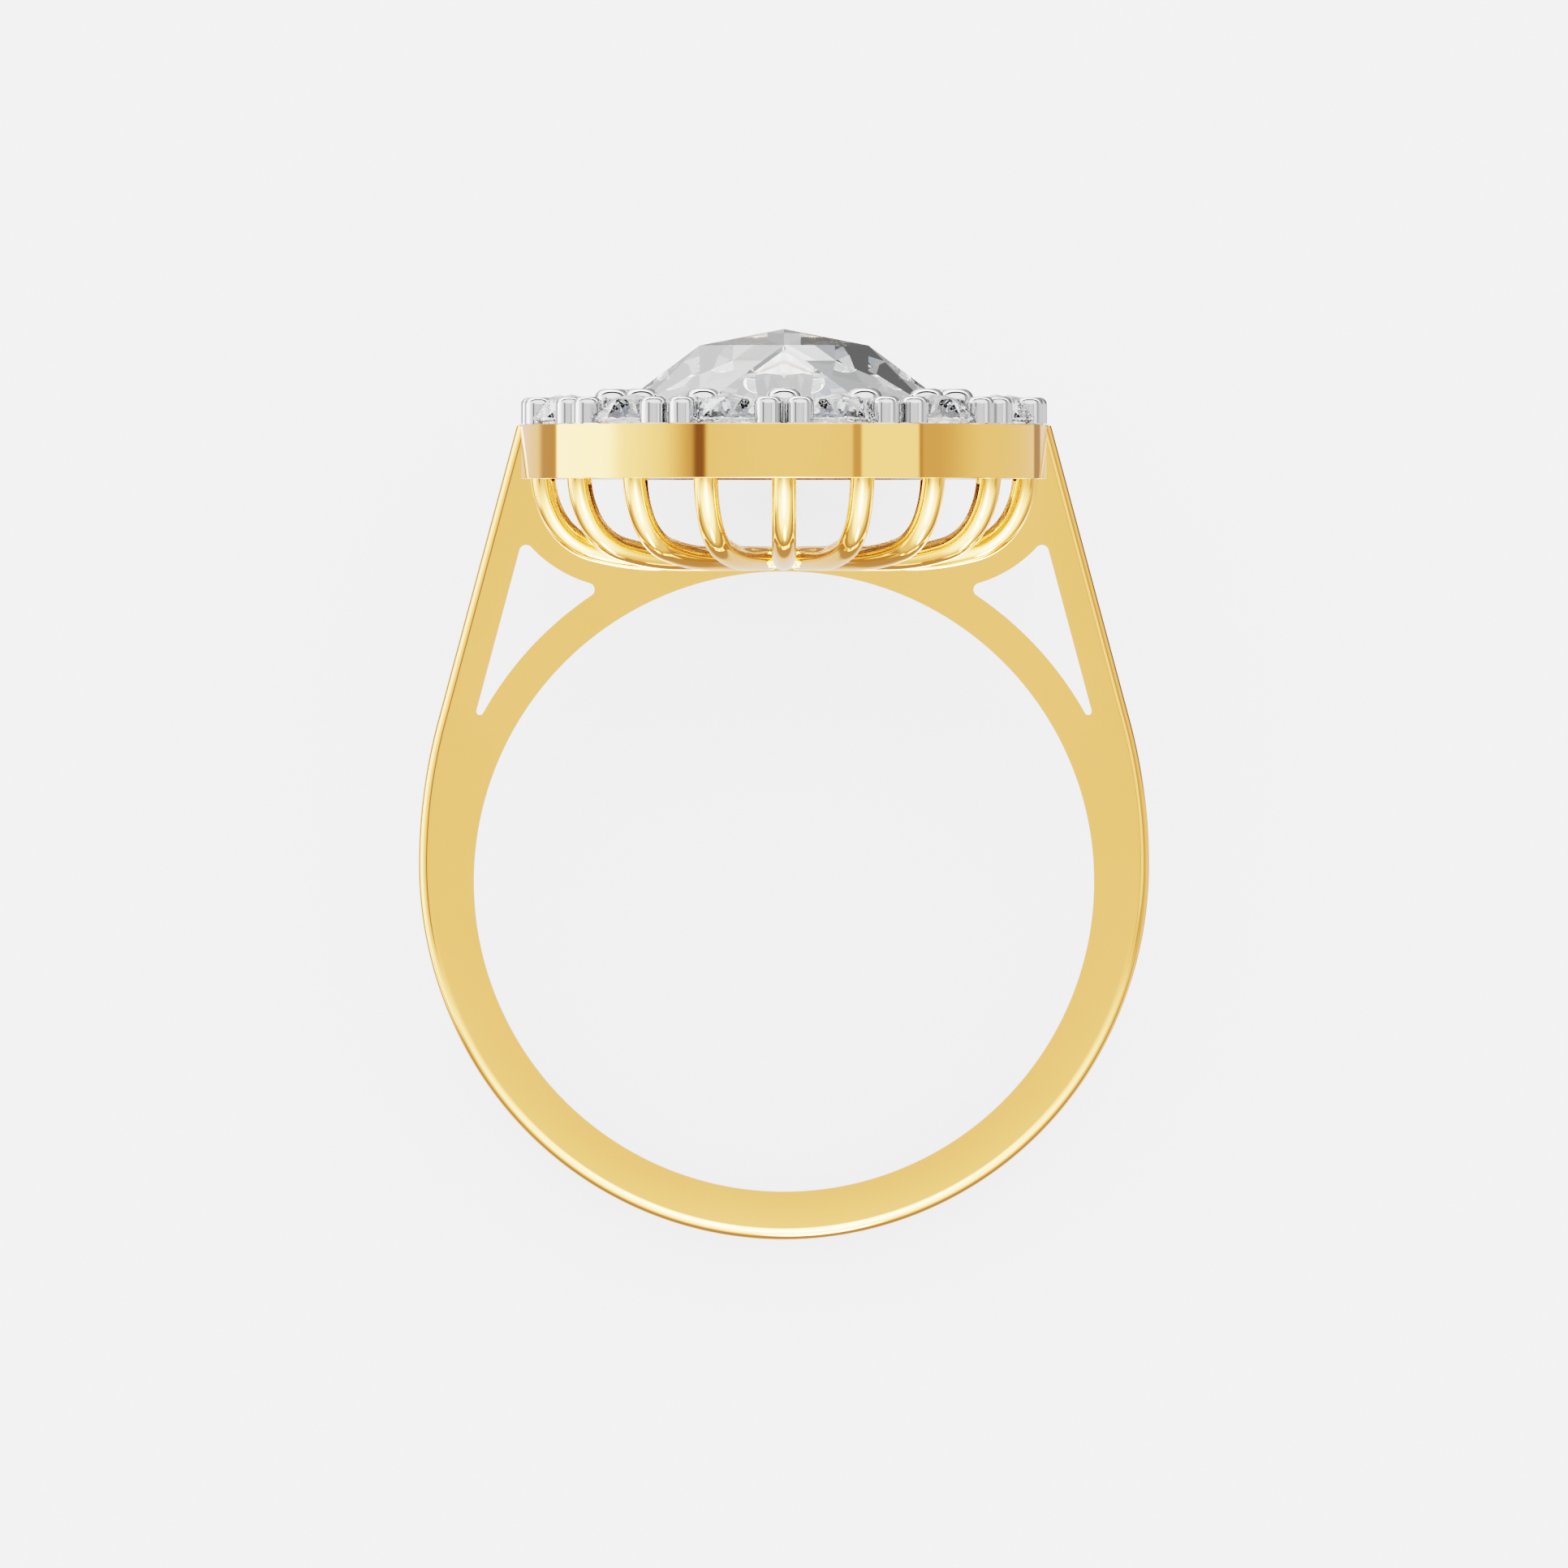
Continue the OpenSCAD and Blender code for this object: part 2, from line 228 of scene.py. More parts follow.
def lathe(profile, steps, centre=(0.0, 0.0)):
    """Points and faces of a closed profile of (radius, height) turned about Z."""
    on_axis = [abs(r) < 1e-9 for r, _ in profile]
    points, index = [], []
    for k, (r, z) in enumerate(profile):
        angles = [0.0] if on_axis[k] else [360 * s / steps for s in range(steps)]
        index.append([len(points) + s for s in range(len(angles))])
        points += [(centre[0] + r * cos(a), centre[1] + r * sin(a), z) for a in angles]
    faces = []
    for k in range(len(profile)):
        a, b = index[k], index[(k + 1) % len(profile)]
        if len(a) == 1 and len(b) == 1:
            continue
        for s in range(steps):
            t = (s + 1) % steps
            corners = [a[s % len(a)], a[t % len(a)], b[t % len(b)], b[s % len(b)]]
            faces.append(tuple(dict.fromkeys(corners)))
    return points, faces


def joined(parts):
    """One list of points and one of faces from several such pairs."""
    points, faces = [], []
    for p, f in parts:
        faces += [tuple(i + len(points) for i in face) for face in f]
        points += p
    return points, faces


def combine(piece, other, operation):
    """Cuts or joins a piece with another object, which is used up. The result is cleaned,
    because its slivers would spoil the next cut."""
    modifier = piece.modifiers.new("combine", "BOOLEAN")
    modifier.solver = "EXACT"
    modifier.operation = operation
    modifier.object = other
    graph = bpy.context.evaluated_depsgraph_get()
    mesh = bpy.data.meshes.new_from_object(piece.evaluated_get(graph))
    piece.modifiers.clear()
    work = bmesh.new()
    work.from_mesh(mesh)
    bmesh.ops.remove_doubles(work, verts=work.verts, dist=WELD)
    bmesh.ops.dissolve_degenerate(work, edges=work.edges, dist=WELD)
    work.to_mesh(mesh)
    work.free()
    piece.data = mesh
    bpy.data.objects.remove(other)


def settle(piece, material, nodes):
    """Moves a finished piece into the part's frame, gives it its finish, hangs it under the root body
    and hides the CAD nodes it stands for.
    Faces square to Y or Z are shaded flat, so that round edges don't bend their light."""
    mesh = piece.data
    work = bmesh.new()
    work.from_mesh(mesh)
    bmesh.ops.remove_doubles(work, verts=work.verts, dist=WELD)
    bmesh.ops.recalc_face_normals(work, faces=work.faces)
    work.to_mesh(mesh)
    work.free()
    smooth = [max(abs(face.normal.y), abs(face.normal.z)) < SQUARE for face in mesh.polygons]
    mesh.transform(RING_TO_PART @ Matrix.Scale(MM, 4))
    mesh.polygons.foreach_set("use_smooth", smooth)
    mesh.set_sharp_from_angle(angle=math.radians(SHARP))
    mesh.materials.clear()
    mesh.materials.append(material)
    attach(piece, "root")
    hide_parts(*nodes)


# Outline of the band, seen along the finger

SIDE_X = HALF_W - SIDE_R
SHOULDER_X = HALF_W - SHOULDER_R
WAIST_RISE = WAIST_Z - BOTTOM_Z
BOTTOM_R = (SIDE_R**2 - WAIST_RISE**2 - SIDE_X**2) / (2 * (SIDE_R - WAIST_RISE))
BOTTOM_C = BOTTOM_Z + BOTTOM_R
SIDE_END = atan2(BOTTOM_C - WAIST_Z, -SIDE_X)
SHOULDER_START = (SHOULDER_X + SHOULDER_R * cos(LEAN), WAIST_Z + SHOULDER_R * sin(LEAN))
SHOULDER_LEN = (RIM_TOP_Z - SHOULDER_DROP - SHOULDER_START[1]) / cos(LEAN)


def half_stations():
    """Stations of the right half of the outline, from the lowest point up, as
    (x, z, angle of the outward normal)."""
    arcs = [
        ((0, BOTTOM_C), BOTTOM_R, -90, SIDE_END, 120),
        ((SIDE_X, WAIST_Z), SIDE_R, SIDE_END, 0, 60),
        ((SHOULDER_X, WAIST_Z), SHOULDER_R, 0, LEAN, 40),
    ]
    found = [(0.0, BOTTOM_Z, -90.0)]
    for (x, z), r, start, end, steps in arcs:
        found += [(x + r * cos(a), z + r * sin(a), a) for a in spread(start, end, steps)[1:]]
    x, z = SHOULDER_START
    found += [(x - d * sin(LEAN), z + d * cos(LEAN), LEAN) for d in spread(0, SHOULDER_LEN, 30)[1:]]
    return found


def bend_centre(i):
    """Centre of bend i of a wire in the plane of X and Z, counted from the top."""
    x, z = WIRE_RING - WIRE_BEND[0], UPRIGHT_LOW_Z
    for k in range(i):
        step = WIRE_BEND[k] - WIRE_BEND[k + 1]
        x, z = x + step * cos(WIRE_TURN[k]), z - step * sin(WIRE_TURN[k])
    return x, z


def turn_from(i):
    """Angle from the upright at the start of bend i of a wire."""
    return WIRE_TURN[i - 1] if i else 0.0


UPRIGHT_LOW_Z = WIRE_LOW_Z + sum(
    WIRE_BEND[i] * (sin(WIRE_TURN[i]) - sin(turn_from(i))) for i in range(3))
LEVEL_END_X = WIRE_RING - sum(
    WIRE_BEND[i] * (cos(turn_from(i)) - cos(WIRE_TURN[i])) for i in range(3))


def bowl_curve(out):
    """The cage's middle line moved out, from beside the rim to the ring's axis."""
    found = []
    steps = 16
    for i in range(3):
        centre = bend_centre(i)
        found += arc(centre, WIRE_BEND[i] + out, -turn_from(i), -WIRE_TURN[i], steps)[:-1]
    return found + [(LEVEL_END_X, WIRE_LOW_Z - out), (0.0, WIRE_LOW_Z - out)]


def window_outline():
    """The right-hand window: three sides and three round corners."""
    ring_r = FINGER_R + STRUT
    lean_dir = (-sin(LEAN), cos(LEAN))
    inward = (-cos(LEAN), -sin(LEAN))
    side = [SHOULDER_START[k] + STRUT * inward[k] for k in (0, 1)]

    def on_side(centre, r, inset, near):
        """Centre of a corner circle that touches the straight side and another circle."""
        base = [side[k] + inset * inward[k] for k in (0, 1)]
        to = (base[0] - centre[0], base[1] - centre[1])
        b = to[0] * lean_dir[0] + to[1] * lean_dir[1]
        c = to[0] ** 2 + to[1] ** 2 - r * r
        roots = [-b - math.sqrt(b * b - c), -b + math.sqrt(b * b - c)]
        found = [(base[0] + t * lean_dir[0], base[1] + t * lean_dir[1]) for t in roots]
        return min(found, key=lambda p: abs(p[1] - near))

    tip = on_side((0, 0), ring_r + WINDOW_TIP, WINDOW_TIP, WINDOW_TIP_NEAR_Z)
    over, over_r = WINDOW_TOP["centre"], WINDOW_TOP["r"]
    top = on_side(over, over_r + WINDOW_ROUND, WINDOW_ROUND, WINDOW_TOP_NEAR_Z)
    inner = crossing((0, 0), ring_r + WINDOW_ROUND, over, over_r + WINDOW_ROUND,
                     WINDOW_INNER_NEAR)
    to_ring = atan2(-tip[1], -tip[0])
    top_a = atan2(top[1] - over[1], top[0] - over[0])
    inner_a = atan2(inner[1] - over[1], inner[0] - over[0])
    points = arc(tip, WINDOW_TIP, to_ring, LEAN, 10)
    points += arc(top, WINDOW_ROUND, LEAN, top_a + 180, 16)
    points += arc(over, over_r, top_a, inner_a, 26)[1:]
    ring_a = atan2(inner[1], inner[0])
    points += arc(inner, WINDOW_ROUND, inner_a + 180, ring_a + 180, 16)[1:]
    points += arc((0, 0), ring_r, ring_a, atan2(tip[1], tip[0]), 60)[1:-1]
    return points


def flat_face(loops):
    """Triangles that fill the first loop outside the others, and the loops' points."""
    inside_without_holes = 2
    same_point = 1e-7
    points, faces = [], []
    for loop in loops:
        faces.append(list(range(len(points), len(points) + len(loop))))
        points += [Vector(p) for p in loop]
    filled = delaunay_2d_cdt(points, [], faces, inside_without_holes, same_point)
    return filled[0], filled[2]


def band():
    """The band with its shoulders: flat faces, round outer edges, hole and windows."""
    stations = half_stations()
    edge = [(EDGE_ROUND * (sin(t) - 1), BAND_HALF - EDGE_ROUND * (1 - cos(t)))
            for t in spread(0, 90, 12)]
    edge.append((0, BAND_HALF - EDGE_ROUND - EDGE))
    section = [(out, -y) for out, y in edge] + edge[::-1]

    def outside(x, z, a):
        return [(x + out * cos(a), y, z + out * sin(a)) for out, y in section]

    run = stations[::-1] + [(-x, z, 180 - a) for x, z, a in stations[1:]]
    points = [p for station in run for p in outside(*station)]
    n = len(section)
    faces = [
        (i * n + k, i * n + k + 1, (i + 1) * n + k + 1, (i + 1) * n + k)
        for i in range(len(run) - 1)
        for k in range(n - 1)
    ]
    skin = (points, faces)

    border = [(x - EDGE_ROUND * cos(a), z - EDGE_ROUND * sin(a)) for x, z, a in stations]
    bowl = bowl_curve(WEB_DROP)
    end_x, end_z = stations[-1][:2]
    bowl_top = (bowl[0][0], end_z - (end_x - bowl[0][0]) * math.tan(math.radians(LEAN)))
    # The flat face's edge: up the right side, down the cage's middle line, and mirrored
    outer = mirrored(border[1:] + [bowl_top] + bowl[:-1])
    outer = [border[0]] + outer[: len(outer) // 2] + [bowl[-1]] + outer[len(outer) // 2 :]
    hole = arc((0, 0), FINGER_R, 0, 360, HOLE_STEPS)[:-1]
    window = window_outline()
    other = [(-x, z) for x, z in window]
    flat, triangles = flat_face([outer, hole, window, other])
    plates = [
        ([(p.x, y, p.y) for p in flat], [tuple(t) for t in triangles])
        for y in (-BAND_HALF, BAND_HALF)
    ]
    walls = [wall(loop, closed=True) for loop in (hole, window, other)]
    inside = bowl[::-1] + [bowl_top]
    for side in (1, -1):
        run_up = [(side * x, z) for x, z in inside]
        walls.append(wall(run_up, closed=False))
        top = stations[-1]
        cap = outside(side * top[0], top[1], 90 - side * (90 - top[2]))
        foot = (side * bowl_top[0], bowl_top[1])
        cap += [(foot[0], y, foot[1]) for y in (BAND_HALF, 0, -BAND_HALF)]
        walls.append((cap, [tuple(range(len(cap)))]))
    return new_object("band", *joined([skin, *plates, *walls]))


def wall(loop, closed):
    """A strip from the band's front face to its back face along a line."""
    levels = (-BAND_HALF, 0, BAND_HALF)
    n = len(levels)
    points = [(x, y, z) for x, z in loop for y in levels]
    faces = []
    for i in range(len(loop) if closed else len(loop) - 1):
        j = (i + 1) % len(loop)
        faces += [(i * n + k, i * n + k + 1, j * n + k + 1, j * n + k) for k in range(n - 1)]
    return points, faces


# Cage, rim and claws


def cage():
    """Twenty round wires, each swept along three bends."""
    stations = [(0, 0.0, 0.0, d) for d in (RIM_LOW_Z + ROOT - UPRIGHT_LOW_Z, 0.0)]
    for i, steps in enumerate((10, 14, 6)):
        stations += [(i, a, 0.0, 0.0) for a in spread(turn_from(i), WIRE_TURN[i], steps)[1:]]
    stations += [(2, 90.0, WIRE_END_R - LEVEL_END_X, 0.0)]
    parts = []
    for w in range(WIRES):
        turn = w * 360 / WIRES - 90
        points = []
        for i, a, dx, dz in stations:
            cx, cz = bend_centre(i)
            for s in range(WIRE_STEPS):
                reach = WIRE_BEND[i] + WIRE_R * cos(360 * s / WIRE_STEPS)
                x, y = cx + reach * cos(a) + dx, WIRE_R * sin(360 * s / WIRE_STEPS)
                z = cz - reach * sin(a) + dz
                points.append((x * cos(turn) - y * sin(turn), x * sin(turn) + y * cos(turn), z))
        faces = tube_faces(len(stations), WIRE_STEPS)
        faces.append(tuple(range(WIRE_STEPS)))
        faces.append(tuple(range(len(points) - WIRE_STEPS, len(points))))
        parts.append((points, faces))
    return new_object("cage_wires", *joined(parts))


def hub():
    """The disc where the wires meet, with soft edges."""
    low, high, e = WIRE_LOW_Z - HUB_T / 2, WIRE_LOW_Z + HUB_T / 2, HUB_EDGE
    profile = [(0, low), (HUB_R - e, low), (HUB_R - e / 4, low + e / 4), (HUB_R, low + e),
               (HUB_R, high - e), (HUB_R - e / 4, high - e / 4), (HUB_R - e, high), (0, high)]
    return new_object("hub", *lathe(profile, HUB_STEPS))


def halo_turn(i):
    """Azimuth of halo stone i, from 1, measured from the X axis."""
    return (i - 0.5) * 360 / HALO_STONES - 90


def stone_room(stone, hole_r, hole_z, steps, centre=(0.0, 0.0)):
    """Room for a stone and its clearance, with the hole that lets light in under it. The
    profile runs downward, so it is turned round: lathe() wants it the other way to make
    faces that point outward, as a cut needs."""
    r, table, z, c = stone["r"], stone["table"], stone["z"], STONE_GAP
    slope = (z[3] - z[4]) / r if len(z) > 4 else 0.0
    profile = [(0, z[0] + c), (table, z[1] + c), (r + c, z[2] + c), (r + c, z[3] - c),
               (hole_r, z[3] - c - (r + c - hole_r) * slope), (hole_r, hole_z), (0, hole_z)]
    return lathe(profile[::-1], steps, centre)


def halo_rooms():
    """The thirteen small stones' rooms, to be cut from what holds them."""
    parts = []
    for i in range(1, HALO_STONES + 1):
        a = halo_turn(i)
        centre = (HALO_RING * cos(a), HALO_RING * sin(a))
        parts.append(stone_room(HALO, AZURE_R, RIM_LOW_Z - OVER, ROOM_STEPS, centre))
    return new_object("halo_rooms", *joined(parts))


def rim():
    """The gold band around the stones, with a recess for the claw plate."""
    e = EDGE
    low, high = RIM_LOW_Z, RIM_TOP_Z
    profile = [(RIM_INNER_R, low), (RIM_R - e, low), (RIM_R - 0.3 * e, low + 0.3 * e),
               (RIM_R, low + e), (RIM_R, low + 2 * e), (RIM_R, high - 2 * e), (RIM_R, high - e),
               (RIM_R - 0.3 * e, high - 0.3 * e), (RIM_R - e, high), (RECESS_R, high),
               (RECESS_R, RECESS_Z), (RIM_INNER_R, RECESS_Z)]
    piece = new_object("rim", *lathe(profile, RIM_STEPS))
    combine(piece, halo_rooms(), "DIFFERENCE")
    return piece


def claw(shape, turn):
    """A round claw with a rounded top, at an angle around the axis."""
    r, top, cap = shape["r"], shape["top"], shape["cap"]
    profile = [(0, RIM_TOP_Z - ROOT), (r, RIM_TOP_Z - ROOT), (r, top - cap - EDGE)]
    profile += [(r - cap + cap * cos(a), top - cap + cap * sin(a)) for a in spread(0, 90, 10)]
    profile += [(0, top)]
    return lathe(profile, CLAW_STEPS, (shape["ring"] * cos(turn), shape["ring"] * sin(turn)))


def claw_setting():
    """The white plate with its claws. The outer claws stand over the rim, just clear of it."""
    profile = [(RIM_INNER_R, RECESS_Z + GAP), (RECESS_R - GAP, RECESS_Z + GAP),
               (RECESS_R - GAP, RIM_TOP_Z), (RIM_INNER_R, RIM_TOP_Z)]
    piece = new_object("claw_setting_look", *lathe(profile, PLATE_STEPS))
    step = 360 / HALO_STONES
    outer = [claw(OUTER_CLAW, i * step - 90 + s * OUTER_CLAW_HALF)
             for i in range(HALO_STONES) for s in (-1, 1)]
    inner = [claw(INNER_CLAW, i * step - 90) for i in range(HALO_STONES)]
    claws = new_object("claws", *joined(outer + inner))
    above_rim = [(RECESS_R - GAP, RIM_TOP_Z - OVER), (RIM_R + OVER, RIM_TOP_Z - OVER),
                 (RIM_R + OVER, RIM_TOP_Z + GAP), (RECESS_R - GAP, RIM_TOP_Z + GAP)]
    combine(claws, new_object("above_rim", *lathe(above_rim, PLATE_STEPS)), "DIFFERENCE")
    combine(piece, claws, "UNION")
    combine(piece, halo_rooms(), "DIFFERENCE")
    center_room = stone_room(CENTER, RIM_INNER_R - ROOT, RIM_LOW_Z, PLATE_STEPS)
    combine(piece, new_object("center_room", *center_room), "DIFFERENCE")
    return piece


# Materials

# Scales of the noise in metals and stones, in waves a metre
COLOUR_DRIFT = 260
STONE_DRIFT = 300
UNEVEN_GLOSS = 700
POLISH_MARKS = 2600
# Polishing marks: stretch along the three axes, strength, and depth in metres
MARK_STRETCH = (1, 1, 9)
MARK_STRENGTH = 0.015
MARK_DEPTH = 0.000001
# How strongly the stones bend light
STONE_IOR = 2.4


def new_material(name, **constants):
    """A material with its node tree and its shader, whose constants are set by name. Its
    glow, if it has one, isn't sampled as a lamp: it shows only where a ray meets it."""
    material = bpy.data.materials.new(name)
    material.use_nodes = True
    material.cycles.emission_sampling = "NONE"
    shader = material.node_tree.nodes["Principled BSDF"]
    for key, value in constants.items():
        shader.inputs[key.replace("_", " ")].default_value = value
    return material, material.node_tree, shader


def noise(tree, scale, detail, stretch=(1, 1, 1)):
    """A noise texture in the object's own coordinates, in metres."""
    coords = tree.nodes.new("ShaderNodeTexCoord")
    mapping = tree.nodes.new("ShaderNodeMapping")
    mapping.inputs["Scale"].default_value = stretch
    texture = tree.nodes.new("ShaderNodeTexNoise")
    texture.inputs["Scale"].default_value = scale
    texture.inputs["Detail"].default_value = detail
    tree.links.new(coords.outputs["Object"], mapping.inputs["Vector"])
    tree.links.new(mapping.outputs["Vector"], texture.inputs["Vector"])
    return texture.outputs["Fac"]


def ranged(tree, value, low, high):
    """A noise value spread over a range, from its usual 0.3 to 0.7."""
    node = tree.nodes.new("ShaderNodeMapRange")
    for key, number in (("From Min", 0.3), ("From Max", 0.7), ("To Min", low), ("To Max", high)):
        node.inputs[key].default_value = number
    tree.links.new(value, node.inputs["Value"])
    return node.outputs["Result"]


def polished_metal(name, colour, worn, mirrored_colour, through_colour, glow, rough):
    """Polished metal: faint colour drift, hairline polishing marks and uneven gloss. Painted
    reflection and shade: its colour is paler where other metal mirrors it, and grey as seen by
    stones and table. Under a stone it shows a painted glow, for the light that the stone lets in."""
    material, tree, shader = new_material(name, Metallic=1.0)
    mix = tree.nodes.new("ShaderNodeMix")
    mix.data_type = "RGBA"
    mix.inputs["A"].default_value = (*colour, 1)
    mix.inputs["B"].default_value = (*worn, 1)
    drift = ranged(tree, noise(tree, COLOUR_DRIFT, detail=3), 0.0, 1.0)
    tree.links.new(drift, mix.inputs["Factor"])
    path = tree.nodes.new("ShaderNodeLightPath")
    shown = mix.outputs["Result"]
    # Painted reflection and shade: the colour changes with the kind of ray that sees the metal
    for kind, other in (("Glossy", mirrored_colour), ("Diffuse", through_colour),
                        ("Transmission", through_colour)):
        seen = tree.nodes.new("ShaderNodeMix")
        seen.data_type = "RGBA"
        seen.inputs["B"].default_value = (*other, 1)
        tree.links.new(path.outputs[f"Is {kind} Ray"], seen.inputs["Factor"])
        tree.links.new(shown, seen.inputs["A"])
        shown = seen.outputs["Result"]
    tree.links.new(shown, shader.inputs["Base Color"])
    # Painted glow: the metal shines by itself where a ray through a stone meets it, in place of real
    # light
    if glow:
        lit = tree.nodes.new("ShaderNodeMix")
        lit.data_type = "RGBA"
        lit.inputs["A"].default_value = (0, 0, 0, 1)
        lit.inputs["B"].default_value = (glow, glow, glow, 1)
        tree.links.new(path.outputs["Is Transmission Ray"], lit.inputs["Factor"])
        tree.links.new(lit.outputs["Result"], shader.inputs["Emission Color"])
        shader.inputs["Emission Strength"].default_value = 1.0
    gloss = ranged(tree, noise(tree, UNEVEN_GLOSS, detail=4), *rough)
    tree.links.new(gloss, shader.inputs["Roughness"])
    bump = tree.nodes.new("ShaderNodeBump")
    bump.inputs["Strength"].default_value = MARK_STRENGTH
    bump.inputs["Distance"].default_value = MARK_DEPTH
    marks = noise(tree, POLISH_MARKS, detail=3, stretch=MARK_STRETCH)
    tree.links.new(marks, bump.inputs["Height"])
    tree.links.new(bump.outputs["Normal"], shader.inputs["Normal"])
    return material


def clear_stone(name, tint):
    """Colourless gem, with a trace of tint that drifts through the stone."""
    material, tree, shader = new_material(name, Roughness=0.0, IOR=STONE_IOR, Transmission_Weight=1.0)
    mix = tree.nodes.new("ShaderNodeMix")
    mix.data_type = "RGBA"
    mix.inputs["A"].default_value = (1, 1, 1, 1)
    mix.inputs["B"].default_value = (*tint, 1)
    drift = ranged(tree, noise(tree, STONE_DRIFT, detail=2), 0.0, 1.0)
    tree.links.new(drift, mix.inputs["Factor"])
    tree.links.new(mix.outputs["Result"], shader.inputs["Base Color"])
    return material


# Floor, light and studio


class Value:
    """A number in a node tree. Arithmetic on it adds Math nodes."""

    def __init__(self, tree, socket):
        self.tree, self.socket = tree, socket

    def math(self, operation, *others):
        node = self.tree.nodes.new("ShaderNodeMath")
        node.operation = operation
        for socket, value in zip(node.inputs, (self, *others)):
            if isinstance(value, Value):
                self.tree.links.new(value.socket, socket)
            else:
                socket.default_value = value
        return Value(self.tree, node.outputs[0])

    def __add__(self, other):
        return self.math("ADD", other)

    def __mul__(self, other):
        return self.math("MULTIPLY", other)

    def step(self, at, soft):
        """0 below a number and 1 above it, with a soft change. Falls if soft is negative."""
        node = self.tree.nodes.new("ShaderNodeMapRange")
        node.interpolation_type = "SMOOTHSTEP"
        node.inputs["From Min"].default_value = at - soft / 2
        node.inputs["From Max"].default_value = at + soft / 2
        self.tree.links.new(self.socket, node.inputs["Value"])
        return Value(self.tree, node.outputs["Result"])

    def toward(self, level, share):
        """This number moved toward a level by a share."""
        return self + (self * -1.0 + level) * share


# The studio, as the ring sees it. Each row takes the brightness of its region to its
# last number, and later rows lie over earlier ones.
# Upright panels and flags: azimuth from and to, softness of these two edges, elevation
# from and to, softness of these. Azimuth is 0 at the camera and positive to the right.
PANELS = [
    # front
    (-25, 25, 30, 30, -90, 90, 1, 1.0),
    # left: flag, key panel that fades toward the front, and a flag behind it
    (-117, -60, 3, 50, -24, 90, 8, 1.9),
    (-117, -80, 3, 14, -24, 60, 8, 3.4),
    (-44, -34, 24, 3, -8, 70, 6, 0.3),
    (-39.5, -35, 3, 2, -8, 70, 6, 0.2),
    (-133, -118, 8, 4, -90, 90, 1, 0.42),
    # right: panel with a narrow flag on each side of it
    (60, 84, 2, 30, -14, 90, 8, 0.57),
    (60, 63, 2, 2, -14, 90, 8, 0.4),
    (32, 61, 2, 2, -5, 60, 5, 1.35),
    (30, 34, 2, 2, -10, 90, 4, 0.5),
    # behind the ring
    (120, 200, 20, 3, 6, 45, 4, 0.25),
    (-200, -135, 4, 20, 6, 45, 4, 0.6),
    (140, 149, 3, 3, -10, 6, 2, 0.35),
]
# Soft oval glows: middle and half size to the side, middle and half size in pitch,
# softness of the edge as a share of the size. Side is the angle to the right of the
# middle plane, pitch is 0 at the camera, 90 overhead and -90 straight below.
GLOWS = [
    # curtain behind and below
    (0, 90, -118, 22, 0.3, 0.4),
    # pool of light on the table in front, with its bright middle
    (0, 50, -45, 31, 0.5, 3.8),
    (0, 15, -33, 18, 0.6, 10.5),
    (6, 9, -78, 13, 0.3, 10.0),
    # overhead: front box, dark gap, top box and its far end
    (4, 48, 45, 34, 0.1, 1.9),
    (0, 70, 88, 13, 0.25, 0.12),
    (0, 65, 130, 16, 0.4, 0.55),
    (-25, 32, 128, 14, 0.5, 2.5),
    (0, 65, 108, 7.5, 0.4, 5.0),
]
# What the stones pass on from the room behind them, in rows like those of PANELS
STONE_PANELS = [
    (-200, 200, 1, 1, -90, 90, 1, 0.3),
    (-200, -158, 4, 4, -45, 14, 6, 0.03),
    (158, 200, 4, 4, -45, -14, 6, 0.05),
    (158, 200, 4, 4, -14, 14, 6, 0.95),
    (-140, -120, 4, 4, -40, -16, 6, 0.03),
    (120, 140, 4, 4, -40, -16, 6, 0.03),
    (-92, -74, 4, 4, -18, -2, 4, 0.35),
    (74, 92, 4, 4, -18, -2, 4, 0.2),
    (98, 118, 4, 4, 14, 40, 4, 0.03),
    (-118, -98, 4, 4, 14, 40, 4, 0.4),
    (0, 22, 4, 4, 14, 30, 4, 0.05),
    (-150, -136, 4, 4, 30, 60, 4, 1.4),
    (135, 150, 4, 4, 30, 60, 4, 1.2),
    (-136, -120, 4, 4, 60, 76, 4, 1.6),
    (120, 136, 4, 4, 60, 76, 4, 1.6),
    (165, 200, 4, 4, 44, 60, 4, 0.8),
    (55, 75, 4, 4, -40, -16, 4, 3.0),
]
# Where the stones pick up a touch of blue, in rows like those of PANELS but with its share last
BLUE_PANELS = [
    (-165, -137, 4, 4, 8, 46, 4, 0.5),
    (105, 121, 4, 4, -10, 60, 4, 0.7),
    (-20, 60, 6, 6, 20, 60, 6, 0.35),
]
BLUE = (0.55, 0.68, 1.0)
STUDIO_BASE = 0.93
STUDIO_GAIN = 1.1
BACKGROUND = 1.78
FLOOR_LIGHT = 1.0
FLOOR_WHITE = 0.8
FLOOR_GLOW = 1.18
FLOOR_R = 0.6
FLOOR_T = 0.01
FLOOR_STEPS = 96


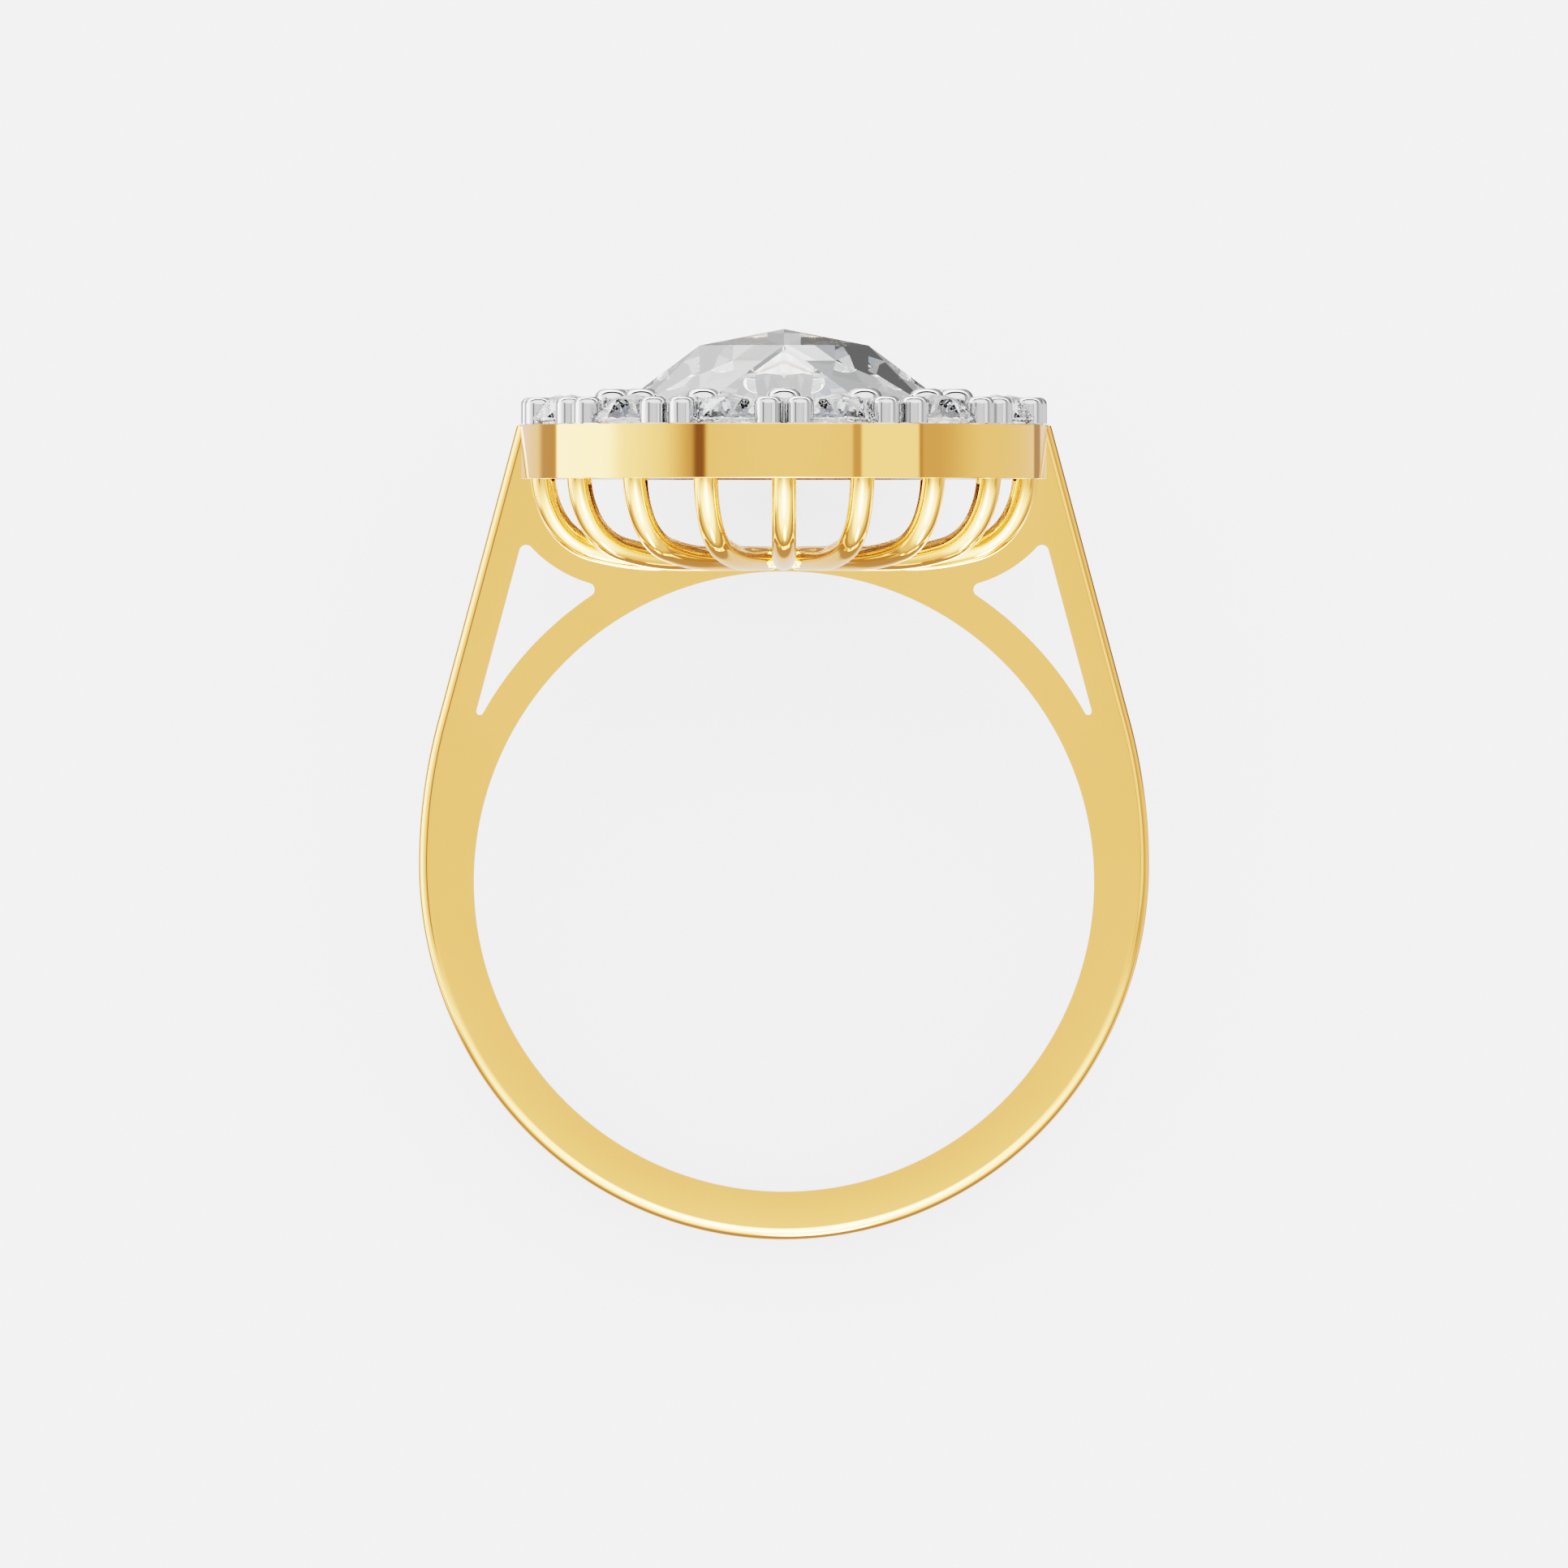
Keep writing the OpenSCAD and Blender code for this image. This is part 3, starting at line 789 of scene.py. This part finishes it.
def studio_world():
    """The room around the ring, as mirrors, stones, table and camera each see it."""
    world = bpy.data.worlds.new("studio")
    bpy.context.scene.world = world
    world.use_nodes = True
    world.cycles.sampling_method = "NONE"
    tree = world.node_tree
    tree.nodes.clear()
    direction = tree.nodes.new("ShaderNodeTexCoord").outputs["Generated"]

    def along(axis):
        node = tree.nodes.new("ShaderNodeVectorMath")
        node.operation = "DOT_PRODUCT"
        tree.links.new(direction, node.inputs[0])
        node.inputs[1].default_value = axis
        return Value(tree, node.outputs["Value"])

    degrees = 180 / math.pi
    right, up, toward = along(ACROSS), along(UPWARD), along(TOWARD)
    azimuth = right.math("ARCTAN2", toward) * degrees
    elevation = up.math("ARCSINE") * degrees
    side = right.math("ARCSINE") * degrees
    pitch = up.math("ARCTAN2", toward) * degrees
    level = azimuth * 0.0 + STUDIO_BASE

    def panel(start, end, soft_start, soft_end, low, high, soft):
        inside = azimuth.step(start, soft_start) * azimuth.step(end, -soft_end)
        if low > -90:
            inside = inside * elevation.step(low, soft)
        if high < 90:
            inside = inside * elevation.step(high, -soft)
        return inside

    for *place, bright in PANELS:
        level = level.toward(bright, panel(*place))
    for middle, half, middle_pitch, half_pitch, soft, bright in GLOWS:
        across = (side + -middle) * (1 / half)
        along_pitch = (pitch + -middle_pitch) * (1 / half_pitch)
        off = (across * across + along_pitch * along_pitch).math("SQRT")
        level = level.toward(bright, off.step(1.0, -2 * soft))
    path = tree.nodes.new("ShaderNodeLightPath")
    through_stone = Value(tree, path.outputs["Is Transmission Ray"])
    for *place, bright in STONE_PANELS:
        level = level.toward(bright, panel(*place) * through_stone)
    level = level * STUDIO_GAIN
    blue = azimuth * 0.0
    for *place, share in BLUE_PANELS:
        blue = blue + panel(*place) * through_stone * share
    level = level.toward(BACKGROUND, Value(tree, path.outputs["Is Camera Ray"]))
    level = level.toward(FLOOR_LIGHT, Value(tree, path.outputs["Is Diffuse Ray"]))
    background = tree.nodes.new("ShaderNodeBackground")
    tint = tree.nodes.new("ShaderNodeMix")
    tint.data_type = "RGBA"
    tint.inputs["A"].default_value = (1, 1, 1, 1)
    tint.inputs["B"].default_value = (*BLUE, 1)
    tree.links.new(blue.socket, tint.inputs["Factor"])
    tree.links.new(tint.outputs["Result"], background.inputs["Color"])
    output = tree.nodes.new("ShaderNodeOutputWorld")
    tree.links.new(level.socket, background.inputs["Strength"])
    tree.links.new(background.outputs["Background"], output.inputs["Surface"])


def add_floor():
    """A pale, evenly lit table. Its own glow keeps the shadows faint."""
    profile = [(0, 0), (FLOOR_R, 0), (FLOOR_R, -FLOOR_T), (0, -FLOOR_T)]
    floor = new_object("floor", *lathe(profile, FLOOR_STEPS))
    floor.location.z = cad_box[0].z
    floor.visible_glossy = False
    floor.visible_transmission = False
    material, tree, shader = new_material("pale_table", Roughness=0.9)
    shader.inputs["Base Color"].default_value = (FLOOR_WHITE, FLOOR_WHITE, FLOOR_WHITE, 1)
    shader.inputs["Specular IOR Level"].default_value = 0.0
    shader.inputs["Emission Color"].default_value = (1, 1, 1, 1)
    shader.inputs["Emission Strength"].default_value = FLOOR_GLOW
    floor.data.materials.append(material)


def main():
    """Dresses the ring: camera, render settings, studio, table, finishes and pieces."""
    add_camera()
    scene = bpy.context.scene
    scene.view_settings.view_transform = "Filmic"
    scene.view_settings.look = "Very High Contrast"
    scene.cycles.glossy_bounces = 12
    scene.cycles.transmission_bounces = 16
    scene.cycles.max_bounces = 24
    studio_world()
    add_floor()
    # mirrored_colour and through_colour are painted colours: a painted reflection, and painted shade
    # for stones and table
    gold = polished_metal("yellow_gold", colour=(1.0, 0.475, 0.162), worn=(0.98, 0.46, 0.152),
                          mirrored_colour=(1.0, 0.88, 0.68), through_colour=(0.1, 0.096, 0.09),
                          glow=0.0, rough=(0.02, 0.045))
    # White gold's glow is a painted glow, seen only through the stones
    white = polished_metal("white_gold", colour=(0.53, 0.53, 0.535), worn=(0.51, 0.51, 0.515),
                           mirrored_colour=(0.6, 0.6, 0.6), through_colour=(0.6, 0.6, 0.6),
                           glow=0.5, rough=(0.03, 0.06))
    stone = clear_stone("clear_stone", (0.97, 0.98, 1.0))
    for piece in (band(), rim(), cage(), hub()):
        settle(piece, gold, ["gold_mount"])
    settle(claw_setting(), white, ["claw_setting"])
    for name, node in frame["nodes"].items():
        if "stone" in name:
            node.data.materials.clear()
            node.data.materials.append(stone)
            node.data.polygons.foreach_set("use_smooth", [False] * len(node.data.polygons))


main()
